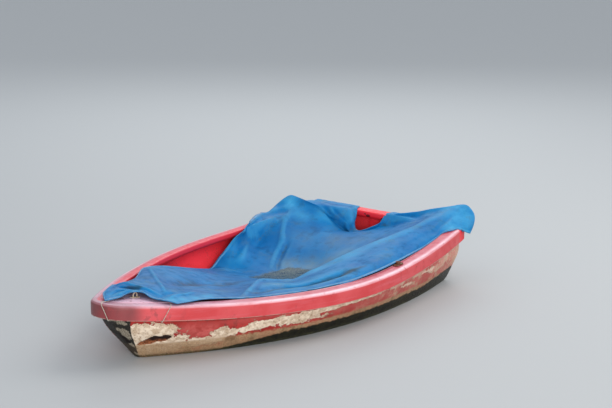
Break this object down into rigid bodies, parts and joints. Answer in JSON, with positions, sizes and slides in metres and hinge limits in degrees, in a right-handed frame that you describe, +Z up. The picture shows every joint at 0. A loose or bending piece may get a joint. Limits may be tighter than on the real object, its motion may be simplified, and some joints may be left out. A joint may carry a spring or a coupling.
{
  "type": "rowing boat",
  "caption": "Small open glass-fibre rowing boat with blunt bow, flat transom, deep gunwale and seats, lying afloat under a loose tarpaulin that sags with rain.",
  "frame": {"origin": "on the waterline, on the centreline, half way along the gunwale", "axes": "+X to the bow, +Y to port, +Z up"},
  "size_m": [3.117, 1.5808, 0.6745],
  "materials": {
    "hull_red": "brick red paint over cream moulding, flaking, with weed below the chine",
    "gunwale_red": "sun-faded red",
    "seat_red": "red, worn",
    "board_wood": "grey, wet",
    "keel_grp": "weedy",
    "pad_wood": "weathered",
    "galvanised": "rusting",
    "bung_rubber": "matt",
    "tarp_blue": "coated sheet, dirty",
    "cord_white": "thin laid cord, weathered"
  },
  "bodies": {
    "root": {"hull_shell": "hull_red", "gunwale": "gunwale_red", "foredeck": "gunwale_red", "bow_seat": "seat_red", "centre_thwart": "seat_red", "stern_bench": "seat_red", "bottom_boards": "board_wood", "board_bearers": "board_wood", "keel": "keel_grp", "bilge_runners": "keel_grp", "transom_pad_outer": "pad_wood", "transom_pad_inner": "pad_wood", "mooring_eye": "galvanised", "stern_eyes": "galvanised", "drain_plug": "bung_rubber", "rowlock_socket": "galvanised", "tarpaulin": "tarp_blue", "tie_cords": "cord_white"}
  },
  "joints": []
}
